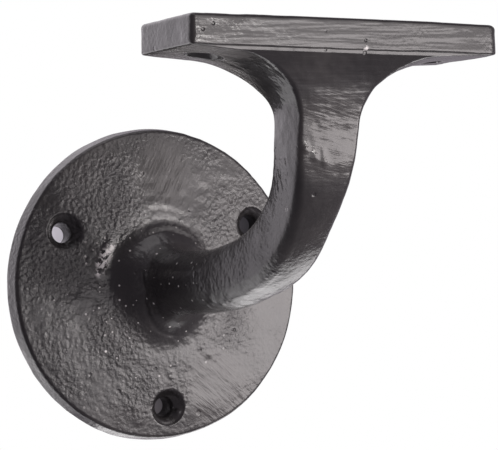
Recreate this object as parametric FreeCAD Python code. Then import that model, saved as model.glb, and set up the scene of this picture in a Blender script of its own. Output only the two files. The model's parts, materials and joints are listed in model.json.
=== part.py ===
"""Cast iron handrail bracket: a round wall plate, a swept arm and a flat rail saddle, cast in one piece.

Millimetres. The wall is the plane Y = 0 and the plate's back lies on it. The origin is the centre of the
plate's back, -Y runs out from the wall, X runs along the handrail and +Z is up.
"""
import FreeCAD, Part
import math
import os

# ---- wall plate -------------------------------------------------------------------------------------
PLATE_D = 75.0            # across the back, against the wall
PLATE_RIM = 4.5           # thickness at the rim
RIM_DRAFT = 0.6           # the rim is this much smaller in radius at its front than at its back
RIM_ROUND = 1.0           # rounded front edge of the rim
FACE_CROWN = 2.9          # rise of the plate's domed face, from the rim to where its middle would be
ROOT_R = 9.0              # hollow round between the plate's face and the arm

# ---- screws in the wall plate -----------------------------------------------------------------------
WALL_SCREW_PCD = 57.6
WALL_SCREW_COUNT = 3
WALL_SCREW_FIRST = -88.2  # degrees: one hole is almost straight below the arm
WALL_SCREW_X = 0.5        # middle of the hole circle, drilled a little off the plate's middle
WALL_SCREW_Z = -1.0
WALL_SCREW_D = 4.8
WALL_SINK_D = 8.9         # mouth of the countersink
SINK_ANGLE = 90.0         # included angle of all countersinks

# ---- arm --------------------------------------------------------------------------------------------
RAIL_REACH = 84.3         # wall to the middle of the saddle
ARM_D = 14.8              # round stretch next to the wall plate
RISE_R = 115.0            # first, gentle arc of the arm's middle line
RISE_ANGLE = 15.0
BEND_R = 33.0             # the main bend
BEND_ANGLE = 62.0
TOP_R = 52.0              # last arc, which turns the arm upright under the saddle
WAIST_W = 11.6            # arm width at the bend, along X
WAIST_DEPTH = 14.2        # arm depth at the bend, square to the width
WAIST_EDGE_R = 3.2        # rounding of the arm's long edges at the bend
NECK_W = 14.8             # the same three sizes where the flare to the saddle starts
NECK_DEPTH = 12.1
NECK_EDGE_R = 1.2
ARM_FACE_CROWN = 0.35     # the arm's four faces bulge this much in their middle

# ---- saddle under the handrail ----------------------------------------------------------------------
SADDLE_L = 74.5           # along the handrail
SADDLE_W = 25.4           # across the handrail
SADDLE_SHIFT = 1.3        # the saddle is cast this much to +X of the arm
SADDLE_T = 6.6            # thickness at the edges
SADDLE_TOP = 53.9         # flat top of the saddle above the plate's centre
SADDLE_CORNER_R = 2.0     # upright corners
SADDLE_EDGE_R = 0.6       # edges of the flat top
FLARE_RISE = 14.2         # height of the flare, a quarter ellipse seen from the front
FLARE_RUN = 20.8          # its run along the saddle at the front and back edges
FLARE_RUN_MIDDLE = 25.0   # its run along the middle of the underside, which makes a low keel there
FLARE_TURN = 84.0         # degrees of the quarter ellipse that show below the saddle
FLARE_SIDE_R = 40.0       # hollow round from the neck to the saddle, seen from the side
UNDER_FALL = 0.7          # the underside lies this much lower at the flare than at the saddle's edges

# ---- screws in the saddle ---------------------------------------------------------------------------
RAIL_SCREW_SPACING = 55.0
RAIL_SCREW_D = 4.8
RAIL_SINK_D = 8.9
RAIL_SINK_LIP = 1.4       # the countersinks' mouths lie this much below the saddle's lower edge

# ---- how the arm is built ---------------------------------------------------------------------------
ARM_STEPS = 6             # sections between the straight run and the neck
FLARE_STEPS = 4           # sections up the flare
SINK_CLEAR = 6.0          # a countersink's cutter carries on this far outside its mouth
CUTTER_TURN = 45.0        # degrees that the hole cutters' seams are turned away from the plate's own
HALVINGS = 50             # steps that find a height along the middle line
TOUCH = 0.01              # faces and edges this close to a height belong to it
FLAT = 1e-6               # three points this close to a line are joined by a line
CORNER_SPREAD = 27.0      # degrees either side of a diagonal that one corner takes on a round section


def vec(x, y, z):
    return FreeCAD.Vector(x, y, z)


def mix(a, b, share):
    return a + (b - a) * share


def ease(share):
    """Smooth step from 0 to 1 with no slope at either end."""
    share = min(max(share, 0.0), 1.0)
    return share * share * (3 - 2 * share)


# ---- wall plate -------------------------------------------------------------------------------------
FACE_RIM_R = PLATE_D / 2 - RIM_DRAFT                # radius where rim and face would meet if left sharp


def face_sphere_radius():
    """Radius of the crowned face, part of a sphere centred on the arm's axis."""
    return (FACE_RIM_R ** 2 + FACE_CROWN ** 2) / (2 * FACE_CROWN)


def face_height(radius):
    """Distance of the crowned face from the wall at a radius from the arm's axis."""
    sphere_r = face_sphere_radius()
    return PLATE_RIM + FACE_CROWN - sphere_r + math.sqrt(sphere_r ** 2 - radius ** 2)


def sphere_centre_depth():
    """The sphere's centre lies this far behind the wall's surface."""
    return face_sphere_radius() - PLATE_RIM - FACE_CROWN


def hollow_centre_height():
    """Distance from the wall of the hollow round's centre: it touches the arm's side and the sphere."""
    outside = face_sphere_radius() + ROOT_R
    return math.sqrt(outside ** 2 - (ARM_D / 2 + ROOT_R) ** 2) - sphere_centre_depth()


def rim_round_centre():
    """Centre (radius, distance from the wall) of the rim's rounded edge, inside the rim and the sphere."""
    slant = math.hypot(RIM_DRAFT, PLATE_RIM)
    across, along = RIM_DRAFT / slant, PLATE_RIM / slant      # the rim's direction, inwards and outwards
    start = (PLATE_D / 2 - RIM_ROUND * along, -RIM_ROUND * across)
    lift = start[1] + sphere_centre_depth()
    reach = face_sphere_radius() - RIM_ROUND
    half_b = -start[0] * across + lift * along
    length = -half_b + math.sqrt(half_b ** 2 - start[0] ** 2 - lift ** 2 + reach ** 2)
    return start[0] - length * across, start[1] + length * along


ARM_START_Y = -hollow_centre_height()               # where the hollow round has become the round arm


def wall_plate():
    """Revolve the half section of plate, hollow round and arm foot about the Y axis."""
    arm_r = ARM_D / 2
    slant = math.hypot(RIM_DRAFT, PLATE_RIM)
    sphere = vec(0, sphere_centre_depth(), 0)
    round_at = vec(rim_round_centre()[0], -rim_round_centre()[1], 0)
    hollow_at = vec(arm_r + ROOT_R, ARM_START_Y, 0)
    outwards = vec(PLATE_RIM / slant, -RIM_DRAFT / slant, 0)  # square to the rim
    to_round = (round_at - sphere).normalize()
    to_hollow = (hollow_at - sphere).normalize()
    centre = vec(0, 0, 0)
    rim_back = vec(PLATE_D / 2, 0, 0)
    rim_front = round_at + outwards * RIM_ROUND
    rim_top = round_at + (outwards + to_round).normalize() * RIM_ROUND
    face_out = sphere + to_round * face_sphere_radius()
    face_mid = sphere + (to_round + to_hollow).normalize() * face_sphere_radius()
    face_in = sphere + to_hollow * face_sphere_radius()
    arm_side = vec(arm_r, ARM_START_Y, 0)
    hollow_mid = hollow_at - (to_hollow + vec(1, 0, 0)).normalize() * ROOT_R
    arm_axis = vec(0, ARM_START_Y, 0)
    outline = Part.Wire([
        Part.LineSegment(centre, rim_back).toShape(),
        Part.LineSegment(rim_back, rim_front).toShape(),
        Part.Arc(rim_front, rim_top, face_out).toShape(),
        Part.Arc(face_out, face_mid, face_in).toShape(),
        Part.Arc(face_in, hollow_mid, arm_side).toShape(),
        Part.LineSegment(arm_side, arm_axis).toShape(),
        Part.LineSegment(arm_axis, centre).toShape(),
    ])
    return Part.Face(outline).revolve(centre, vec(0, -1, 0), 360)


# ---- arm's middle line ------------------------------------------------------------------------------
def arm_path():
    """Middle line in the plane X = 0 as runs and arcs: (length, radius or None, start climb, y, z).

    The angle is the line's climb from the horizontal. The straight run at the wall and the upright run
    under the saddle take up what the three arcs leave of the reach and of the height.
    """
    arcs = [(RISE_R, RISE_ANGLE), (BEND_R, BEND_ANGLE), (TOP_R, 90 - RISE_ANGLE - BEND_ANGLE)]
    reach = height = climb = 0.0
    for radius, turn in arcs:
        start, end = math.radians(climb), math.radians(climb + turn)
        reach += radius * (math.sin(end) - math.sin(start))
        height += radius * (math.cos(start) - math.cos(end))
        climb += turn
    pieces = []
    y, z, climb = ARM_START_Y, 0.0, 0.0
    run = RAIL_REACH + ARM_START_Y - reach
    pieces.append((run, None, climb, y, z))
    y -= run
    for radius, turn in arcs:
        pieces.append((radius * math.radians(turn), radius, climb, y, z))
        start, end = math.radians(climb), math.radians(climb + turn)
        y -= radius * (math.sin(end) - math.sin(start))
        z += radius * (math.cos(start) - math.cos(end))
        climb += turn
    pieces.append((SADDLE_TOP - z, None, climb, y, z))
    return pieces


def path_point(distance):
    """Point (y, z) and climb in radians at a distance along the arm's middle line."""
    for length, radius, climb, y, z in arm_path():
        if distance <= length:
            break
        distance -= length
    start = math.radians(climb)
    if radius is None:
        return y - distance * math.cos(start), z + distance * math.sin(start), start
    end = start + distance / radius
    return (y - radius * (math.sin(end) - math.sin(start)),
            z + radius * (math.cos(start) - math.cos(end)), end)


# ---- arm sections -----------------------------------------------------------------------------------
def section_points(half_w, half_d, edge_r, crown_w, crown_d, squareness):
    """Sixteen points round a section as (across, outward) pairs: a circle at 0, a rounded box at 1.

    Odd points are the ends of the four sides and four corners, even points their middles.
    """
    quarter = []
    for turn, at in ((0.0, "side"), (CORNER_SPREAD, "mouth"), (45.0, "corner"), (90 - CORNER_SPREAD, "exit")):
        angle = math.radians(turn)
        ring = (math.cos(angle) * ARM_D / 2, math.sin(angle) * ARM_D / 2)
        bend = edge_r * (1 - math.sqrt(0.5))
        box = {"side": (half_w + crown_w, 0.0), "mouth": (half_w, half_d - edge_r),
               "corner": (half_w - bend, half_d - bend), "exit": (half_w - edge_r, half_d)}[at]
        quarter.append((mix(ring[0], box[0], squareness), mix(ring[1], box[1], squareness)))
    top = (0.0, mix(ARM_D / 2, half_d + crown_d, squareness))
    first = quarter + [top]
    second = [(-x, y) for x, y in reversed(quarter)]
    upper = first + second
    lower = [(x, -y) for x, y in reversed(upper[1:-1])]
    return upper + lower


def section_wire(points, y, z, climb):
    """Eight edges through the sixteen points, square to the middle line: arcs, or lines where flat."""
    across = vec(1, 0, 0)
    outward = vec(0, -math.sin(climb), -math.cos(climb))
    centre = vec(0, y, z)
    placed = [centre + across * a + outward * b for a, b in points]
    count = len(placed)
    edges = []
    for i in range(1, count, 2):
        start, middle, end = placed[i], placed[(i + 1) % count], placed[(i + 2) % count]
        flat = (start + end).multiply(0.5).distanceToPoint(middle) < FLAT
        curve = Part.LineSegment(start, end) if flat else Part.Arc(start, middle, end)
        edges.append(curve.toShape())
    return Part.Wire(edges)


# ---- flare under the saddle -------------------------------------------------------------------------
SADDLE_EDGE_Z = SADDLE_TOP - SADDLE_T      # lower edge of the saddle


def flare_start_z():
    return SADDLE_EDGE_Z - UNDER_FALL - FLARE_RISE * math.sin(math.radians(FLARE_TURN))


def depth_at(z):
    """Half depth of arm and flare at a height, on the side view's arc to the saddle's edge."""
    growth = (SADDLE_W - NECK_DEPTH) / 2
    rise = math.sqrt(FLARE_SIDE_R ** 2 - (FLARE_SIDE_R - growth) ** 2)
    above = min(max(z - (SADDLE_EDGE_Z - rise), 0.0), rise)
    return NECK_DEPTH / 2 + FLARE_SIDE_R - math.sqrt(FLARE_SIDE_R ** 2 - above ** 2)


def distance_at(z):
    """Distance along the middle line where it reaches a height, by halving."""
    low, high = 0.0, sum(piece[0] for piece in arm_path())
    for _ in range(HALVINGS):
        middle = (low + high) / 2
        if path_point(middle)[1] < z:
            low = middle
        else:
            high = middle
    return (low + high) / 2


def arm_sections():
    """Section wires from the round foot to the saddle's lower edge."""
    pieces = arm_path()
    run = pieces[0][0]
    waist = run + pieces[1][0] + pieces[2][0] / 2
    neck = distance_at(flare_start_z())
    places = [0.0, run / 2] + [mix(run, neck, i / ARM_STEPS) for i in range(ARM_STEPS + 1)]
    wires = []
    for place in places:
        upper = ease((place - waist) / (neck - waist))
        y, z, climb = path_point(place)
        deeper = depth_at(z) - NECK_DEPTH / 2         # the side view's hollow round starts below the neck
        points = section_points(
            mix(WAIST_W, NECK_W, upper) / 2, mix(WAIST_DEPTH, NECK_DEPTH, upper) / 2 + deeper,
            mix(WAIST_EDGE_R, NECK_EDGE_R, upper), ARM_FACE_CROWN, ARM_FACE_CROWN,
            ease((place - run) / (waist - run)))
        wires.append(section_wire(points, y, z, climb))
    for i in range(1, FLARE_STEPS + 1):
        turn = math.radians(FLARE_TURN * i / FLARE_STEPS)
        spread = 1 - math.cos(turn)
        z = flare_start_z() + FLARE_RISE * math.sin(turn)
        points = section_points(
            NECK_W / 2 + FLARE_RUN * spread, depth_at(z), mix(NECK_EDGE_R, SADDLE_CORNER_R, i / FLARE_STEPS),
            ARM_FACE_CROWN + (FLARE_RUN_MIDDLE - FLARE_RUN) * spread, ARM_FACE_CROWN * math.cos(turn), 1.0)
        wires.append(section_wire(points, *path_point(distance_at(z))))
    return wires


def saddle_outline():
    points = [(across + SADDLE_SHIFT, outward) for across, outward in
              section_points(SADDLE_L / 2, SADDLE_W / 2, SADDLE_CORNER_R, 0.0, 0.0, 1.0)]
    return section_wire(points, -RAIL_REACH, SADDLE_EDGE_Z, math.radians(90))


def saddle():
    """The flat block under the handrail, with its top edges softened."""
    block = Part.Face(saddle_outline()).extrude(vec(0, 0, SADDLE_T))
    top_edges = [edge for edge in block.Edges if edge.BoundBox.ZMin > SADDLE_TOP - TOUCH]
    return block.makeFillet(SADDLE_EDGE_R, top_edges)


def arm_and_saddle():
    """Sew one skin: foot cap, smooth loft up to the flare's end, straight underside, saddle block."""
    sections = arm_sections()
    foot = Part.Face(sections[0])
    swept = Part.makeLoft(sections, False, False)
    underside = Part.makeLoft([sections[-1], saddle_outline()], False, True)
    block_faces = [face for face in saddle().Faces if face.BoundBox.ZMax > SADDLE_EDGE_Z + TOUCH]
    skin = Part.Shell([foot] + swept.Faces + underside.Faces + block_faces)
    skin.sewShape()
    return Part.Solid(skin)


# ---- screw holes ------------------------------------------------------------------------------------
def screw_cutter(mouth, inward, hole_d, sink_d, depth):
    """Countersink and hole: the mouth's centre, the way in, and how far the hole goes."""
    tip = sink_d / 2 / math.tan(math.radians(SINK_ANGLE / 2))
    outer_r = (tip + SINK_CLEAR) * math.tan(math.radians(SINK_ANGLE / 2))
    cone = Part.makeCone(outer_r, 0, SINK_CLEAR + tip, mouth - inward * SINK_CLEAR, inward)
    hole = Part.makeCylinder(hole_d / 2, depth, mouth, inward)
    cutter = cone.fuse(hole)
    cutter.rotate(mouth, inward, CUTTER_TURN)
    return cutter


def wall_screw_cutters():
    cutters = []
    for i in range(WALL_SCREW_COUNT):
        angle = math.radians(WALL_SCREW_FIRST + 360.0 / WALL_SCREW_COUNT * i)
        x = WALL_SCREW_X + WALL_SCREW_PCD / 2 * math.cos(angle)
        z = WALL_SCREW_Z + WALL_SCREW_PCD / 2 * math.sin(angle)
        mouth = vec(x, -face_height(math.hypot(x, z)), z)
        cutters.append(screw_cutter(mouth, vec(0, 1, 0), WALL_SCREW_D, WALL_SINK_D, 2 * face_height(0)))
    return cutters


def rail_screw_cutters():
    cutters = []
    for side in (-1, 1):
        mouth = vec(side * RAIL_SCREW_SPACING / 2, -RAIL_REACH, SADDLE_EDGE_Z - RAIL_SINK_LIP)
        cutters.append(screw_cutter(mouth, vec(0, 0, 1), RAIL_SCREW_D, RAIL_SINK_D, 2 * SADDLE_T))
    return cutters


def handrail_bracket():
    upper = arm_and_saddle()
    casting = wall_plate().fuse(upper).removeSplitter()
    for cutter in wall_screw_cutters() + rail_screw_cutters():
        casting = casting.cut(cutter)
    return casting


def main():
    os.makedirs("parts", exist_ok=True)
    casting = handrail_bracket()
    if len(casting.Solids) != 1 or not casting.isValid():
        raise RuntimeError("the casting isn't one valid solid")
    casting.Solids[0].exportStep("parts/handrail_bracket.step")
    print("volume_cm3", round(casting.Volume / 1000, 2), "faces", len(casting.Faces))


main()
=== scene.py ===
"""Looks of a cast iron handrail bracket: one painted casting, its screw holes, and a pale studio.

Lengths inside the shape functions are millimetres, in the frame of the solid: the wall is the plane Y = 0,
the origin is the centre of the round plate's back, X runs along the rail and +Z is up.
"""
import json
import math

import bpy
import numpy as np
from mathutils import Matrix, Vector


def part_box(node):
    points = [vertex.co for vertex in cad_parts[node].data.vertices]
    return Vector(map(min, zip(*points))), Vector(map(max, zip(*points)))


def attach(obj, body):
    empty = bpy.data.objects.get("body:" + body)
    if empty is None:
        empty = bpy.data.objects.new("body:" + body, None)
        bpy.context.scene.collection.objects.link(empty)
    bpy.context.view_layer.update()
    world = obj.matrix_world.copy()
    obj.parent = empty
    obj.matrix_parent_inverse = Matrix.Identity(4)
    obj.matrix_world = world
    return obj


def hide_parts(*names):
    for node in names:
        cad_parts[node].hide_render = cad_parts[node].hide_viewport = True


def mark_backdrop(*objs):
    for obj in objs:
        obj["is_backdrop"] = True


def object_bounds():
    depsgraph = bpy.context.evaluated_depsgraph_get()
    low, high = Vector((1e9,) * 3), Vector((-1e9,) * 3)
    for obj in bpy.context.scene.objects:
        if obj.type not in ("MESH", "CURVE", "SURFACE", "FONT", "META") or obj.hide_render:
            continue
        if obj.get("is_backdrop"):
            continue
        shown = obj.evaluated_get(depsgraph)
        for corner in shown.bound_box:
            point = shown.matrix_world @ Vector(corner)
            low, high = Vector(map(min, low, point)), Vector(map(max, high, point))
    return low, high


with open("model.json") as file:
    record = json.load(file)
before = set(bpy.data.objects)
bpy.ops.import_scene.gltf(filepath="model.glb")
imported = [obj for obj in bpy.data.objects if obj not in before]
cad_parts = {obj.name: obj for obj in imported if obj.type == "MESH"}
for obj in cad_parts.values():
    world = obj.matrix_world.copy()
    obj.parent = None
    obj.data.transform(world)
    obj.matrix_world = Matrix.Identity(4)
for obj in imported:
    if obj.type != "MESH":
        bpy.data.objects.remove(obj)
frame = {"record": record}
CAD_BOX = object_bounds()
MOUNTS = {mount["name"]: mount for mount in frame["record"]["mounts"]}

bl_info = {
    "name": "Cast handrail bracket",
    "version": (1, 0, 0),
    "blender": (4, 5, 0),
    "location": "View3D > Sidebar > Bracket",
    "description": "Builds a painted cast iron handrail bracket with its screw holes, skin and studio",
    "category": "Add Mesh",
}

MM = 0.001
NODE = "handrail_bracket"


# ---- settings ----
def number(name, description, default, **kind):
    return bpy.props.FloatProperty(name=name, description=description, default=default, **kind)


def numbers(name, description, default, **kind):
    return bpy.props.FloatVectorProperty(
        name=name, description=description, default=default, size=len(default), **kind)


def length(name, description, default_mm):
    return number(name, description, default_mm * MM, unit="LENGTH", precision=5)


def angle(name, description, default_degrees):
    return number(name, description, math.radians(default_degrees), subtype="ANGLE")


def colour(name, description, default):
    return numbers(name, description, default, min=0.0, max=1.0, subtype="COLOR")


def amount(name, description, default):
    return number(name, description, default, min=0.0)


class BracketSizes(bpy.types.PropertyGroup):
    """Driving sizes, the solid's but for root hollow, face bulge, saddle edge and flare side."""
    plate_diameter: length("Plate diameter", "Across the back, against the wall", 75.0)
    plate_rim: length("Plate rim", "Thickness of the plate at its rim", 4.5)
    rim_draft: length("Rim draft", "How much smaller in radius the rim is at its front", 0.6)
    rim_round: length("Rim round", "Rounded front edge of the rim", 1.0)
    face_crown: length("Face crown", "Rise of the domed face from the rim to its middle", 2.9)
    root_radius: length("Root hollow", "Hollow round between the plate's face and the arm", 10.5)
    arm_diameter: length("Arm diameter", "Round stretch next to the plate", 14.8)
    rise_radius: length("Rise radius", "First, gentle arc of the arm's middle line", 115.0)
    rise_angle: angle("Rise angle", "Turn of the first arc", 15.0)
    bend_radius: length("Bend radius", "Main bend of the arm", 33.0)
    bend_angle: angle("Bend angle", "Turn of the main bend", 62.0)
    top_radius: length("Top radius", "Last arc, which turns the arm upright", 52.0)
    waist_width: length("Waist width", "Arm width at the bend", 11.6)
    waist_depth: length("Waist depth", "Arm depth at the bend", 14.2)
    waist_edge: length("Waist edge", "Rounding of the arm's long edges at the bend", 3.2)
    neck_width: length("Neck width", "Arm width where the flare starts", 14.8)
    neck_depth: length("Neck depth", "Arm depth where the flare starts", 12.1)
    neck_edge: length("Neck edge", "Rounding of the long edges where the flare starts", 1.2)
    face_bulge: length("Face bulge", "How much the arm's four faces swell in their middle", 0.22)
    saddle_length: length("Saddle length", "Along the handrail", 74.5)
    saddle_width: length("Saddle width", "Across the handrail", 25.4)
    saddle_shift: length("Saddle shift", "The saddle is cast this much to +X of the arm", 1.3)
    saddle_thickness: length("Saddle thickness", "At its edges", 6.6)
    saddle_edge: length("Saddle edge", "Softened edges of the flat top", 1.0)
    saddle_corners: numbers(
        "Saddle corners", "Radii of its upright corners: front right, front left, back left, back right",
        (3.3 * MM, 1.2 * MM, 2.0 * MM, 2.4 * MM), unit="LENGTH", precision=5)
    flare_rise: length("Flare rise", "Height of the quarter ellipse under the saddle", 14.2)
    flare_run: length("Flare run", "Run of the quarter ellipse along the saddle", 20.8)
    flare_run_middle: length("Keel run", "The same run along the middle of the underside", 25.0)
    flare_turn: angle("Flare turn", "How much of the quarter ellipse shows", 84.0)
    flare_side: length("Flare side", "Hollow round from neck to saddle, seen from the side", 26.0)
    under_fall: length("Underside fall", "The underside is this much lower at the flare", 0.7)
    sink_diameter: length("Countersink", "Mouth of each countersink", 8.9)
    rail_sink_lip: length("Rail countersink", "Its mouth lies this much below the saddle's lower edge", 1.4)


class BracketFinish(bpy.types.PropertyGroup):
    """Paint and skin."""
    paint: colour("Paint", "Black gloss paint", (0.0200, 0.0185, 0.0190))
    paint_thin: colour("Thin paint", "Where the paint is thin or dusty", (0.0420, 0.0390, 0.0380))
    # this pale colour is dust and also painted highlights: the glint patch left of the root and the glint
    # specks
    dust_and_glints: colour("Dust", "Pale dust caught in the skin", (0.7500, 0.7300, 0.7100))
    waviness: amount("Waviness", "Height in millimetres of the casting's slow unevenness", 0.14)
    hammer: amount("Hammering", "Height in millimetres of the pebbled skin", 0.045)
    seed: bpy.props.IntProperty(name="Seed", description="Sets the pattern of the skin", default=11, min=0)


class BracketStudio(bpy.types.PropertyGroup):
    """Camera and backdrop."""
    camera_place: numbers(
        "Camera place", "Where the camera stands", (-0.25992, -0.55045, -0.00651), subtype="TRANSLATION")
    camera_heading: angle("Camera heading", "Turn of the view from +Y towards +X", 27.53)
    camera_pitch: angle("Camera pitch", "Tilt of the view above the horizon", 1.92)
    camera_roll: angle("Camera roll", "Turn of the picture", -1.08)
    lens: number("Lens", "Focal length in millimetres", 181.56, min=1.0)
    backdrop: colour("Backdrop", "Floor and backdrop", (1.0, 1.0, 1.0))


def sizes():
    return bpy.context.scene.bracket_sizes


def in_mm(name):
    return getattr(sizes(), name) / MM


def mount_at(name):
    """(x, y, z) of a mount in millimetres."""
    return [value / MM for value in MOUNTS[name]["pos_m"]]


# ---- shape of the casting ----
CORNER_SPREAD = 27.0  # degrees either side of a diagonal that a corner takes on a round section
CORNER_COUNT = 8  # points round one corner of a ring
FRONT_COUNT = 76  # points along the front of a ring, and along its back
SIDE_COUNT = 32  # points along each end of a ring
RING_COUNT = 4 * CORNER_COUNT + 2 * FRONT_COUNT + 2 * SIDE_COUNT
ARC_POINTS = 40  # points used to measure out one arc of a section
BACK_SHARES = (0.25, 0.5, 0.75, 0.93)  # radii of the rings on the flat back, as shares of the rim's
TOP_SHARES = (0.2, 0.45, 0.7)  # the same for the saddle's top, from its edge to its middle
EDGE_STEPS, RIM_STEPS, ROUND_STEPS = 4, 12, 8  # rings on the back edge, the rim and its round
FACE_STEPS, HOLLOW_STEPS = 58, 32  # rings on the face and on the root hollow
ARM_STEPS, FLARE_STEPS, UNDER_STEPS = 164, 50, 13  # rings on the arm, the flare and the underside
SIDE_STEPS, TOP_STEPS = 18, 6  # rings on the saddle's sides and its top edge
LINE_STEPS = 4000  # places tried along the middle line to find a height
# lengths in millimetres
LOWER_ROUND = 0.5  # paint-softened edge under the saddle
BACK_ROUND = 0.3  # the same on the plate's back edge
RIM_BLEND = 6.0  # the face eases into the rim's round over this width
MEETING_FILL = 0.35  # metal that softens the meeting of hollow and face
MEETING_REACH = 4.5  # how far that reaches
ARM_PAST = 30.0  # how far past its last arc the middle line is searched
NECK_RUN = 1000.0  # the upright run has no end of its own
# the saddle's worn ends: (side along X, top 1 or bottom -1, radius)
END_ROUNDS = [(1, 1, 2.6), (1, -1, 1.4), (-1, 1, 0.9), (-1, -1, 0.8)]


def ease(share):
    """Smooth step, 3 s^2 - 2 s^3, with s held between 0 and 1."""
    share = np.clip(share, 0.0, 1.0)
    return share * share * (3 - 2 * share)


def mix(a, b, share):
    return a + (b - a) * share


def quarter_round(radius, steps):
    """(inset, rise) from flat to upright: r (1 - sin a) and r (1 - cos a)."""
    turn = np.linspace(0, math.pi / 2, steps)
    return radius * (1 - np.sin(turn)), radius * (1 - np.cos(turn))


def quadrant(half_w, half_d, edge_r, squareness):
    """Three points of one rounded corner, between a circle (squareness 0) and a box corner (1)."""
    turns = np.radians([CORNER_SPREAD, 45.0, 90 - CORNER_SPREAD])
    circle = in_mm("arm_diameter") / 2 * np.stack([np.cos(turns), np.sin(turns)], -1)
    bend = edge_r * (1 - math.sqrt(0.5))
    box = np.stack([
        np.stack([half_w, half_d - edge_r], -1),
        np.stack([half_w - bend, half_d - bend], -1),
        np.stack([half_w - edge_r, half_d], -1)], 1)
    return mix(circle, box, squareness[:, None, None])


def section_points(half_w, half_d, corner_radii, crown_w, crown_d, squareness):
    """(stations, 16, 2): ends and middles of the eight arcs of each section, from the +X corner round.

    corner_radii has one column for each corner: front right, front left, back left, back right.
    """
    arm_r = in_mm("arm_diameter") / 2
    side = mix(arm_r, half_w + crown_w, squareness)
    front = mix(arm_r, half_d + crown_d, squareness)
    nought = np.zeros_like(side)
    corners = [quadrant(half_w, half_d, corner_radii[:, i], squareness) for i in range(4)]
    return np.concatenate([
        np.stack([side, nought], -1)[:, None], corners[0],
        np.stack([nought, front], -1)[:, None], corners[1][:, ::-1] * (-1, 1),
        np.stack([-side, nought], -1)[:, None], corners[2] * (-1, -1),
        np.stack([nought, -front], -1)[:, None], corners[3][:, ::-1] * (1, -1)], 1)


def section_outline(points):
    """Dense closed outline of each section: eight circular arcs through the sixteen points.

    An arc with chord half-length c and sagitta s turns 4 atan(s / c). It is drawn as the conic
    ((1-t)^2 P0 + 2 t (1-t) w P1 + t^2 P2) / ((1-t)^2 + 2 t (1-t) w + t^2), with w the cosine of half its
    turn and P1 where its end tangents meet.
    """
    order = (np.arange(8) * 2 + 1)[:, None] + np.arange(3)
    start, middle, end = (points[:, order[:, i] % 16] for i in range(3))
    chord = np.linalg.norm(end - start, axis=-1) / 2
    sagitta = np.linalg.norm(middle - (start + end) / 2, axis=-1)
    weight = np.cos(2 * np.arctan2(sagitta, chord))[..., None, None]
    start, middle, end = (p[:, :, None] for p in (start, middle, end))
    apex = (middle * (2 + 2 * weight) - start - end) / (2 * weight)
    t = (np.arange(ARC_POINTS) / ARC_POINTS)[:, None]
    top = (1 - t) ** 2 * start + 2 * t * (1 - t) * weight * apex + t ** 2 * end
    arcs = top / ((1 - t) ** 2 + 2 * t * (1 - t) * weight + t ** 2)
    return arcs.reshape(len(points), 8 * ARC_POINTS, 2)


def ring_counts():
    """Where the eight arcs start in a ring, counted in points."""
    return np.cumsum([0] + [CORNER_COUNT, FRONT_COUNT, CORNER_COUNT, SIDE_COUNT] * 2)


def even_angles():
    """Angle in degrees of each point when a ring is spread evenly round a circle."""
    return (np.arange(RING_COUNT) + SIDE_COUNT / 2) * 360 / RING_COUNT


def sampled_rings(outlines, squareness):
    """RING_COUNT points on each outline: evenly spread on a circle, corner by corner on a box."""
    starts = ring_counts()
    even = (starts + SIDE_COUNT / 2) / RING_COUNT - CORNER_SPREAD / 360
    rings = np.empty((len(outlines), RING_COUNT, 2))
    for i, outline in enumerate(outlines):
        closed = np.vstack([outline, outline[:1]])
        along = np.concatenate([[0], np.cumsum(np.linalg.norm(np.diff(closed, axis=0), axis=1))])
        anchors = mix(even * along[-1], along[::ARC_POINTS], squareness[i])
        places = np.interp(np.arange(RING_COUNT), starts, anchors) % along[-1]
        rings[i] = np.stack([np.interp(places, along, closed[:, k]) for k in range(2)], -1)
    return rings


def placed(rings, centre_y, centre_z, climb):
    """Stand each ring square to the arm's middle line, which climbs at an angle from the horizontal."""
    across, outward = rings[..., 0], rings[..., 1]
    return np.stack([
        across,
        centre_y[:, None] - outward * np.sin(climb)[:, None],
        centre_z[:, None] - outward * np.cos(climb)[:, None]], -1)


def sphere_radius():
    """Radius of the sphere through the rim whose middle stands face_crown proud of it."""
    rim_r = in_mm("plate_diameter") / 2 - in_mm("rim_draft")
    return (rim_r ** 2 + in_mm("face_crown") ** 2) / (2 * in_mm("face_crown"))


def face_height(radius):
    """Distance of the domed face from the wall: rim + crown - R + sqrt(R^2 - r^2)."""
    ball = sphere_radius()
    return in_mm("plate_rim") + in_mm("face_crown") - ball + np.sqrt(ball ** 2 - radius ** 2)


def hollow_at():
    """Distance of the hollow round's centre from the arm's axis."""
    return in_mm("arm_diameter") / 2 + in_mm("root_radius")


def foot_height():
    """Distance from the wall where the hollow round has become the round arm."""
    outside = sphere_radius() + in_mm("root_radius")
    return math.sqrt(outside ** 2 - hollow_at() ** 2) - (sphere_radius() - face_height(0.0))


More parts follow.
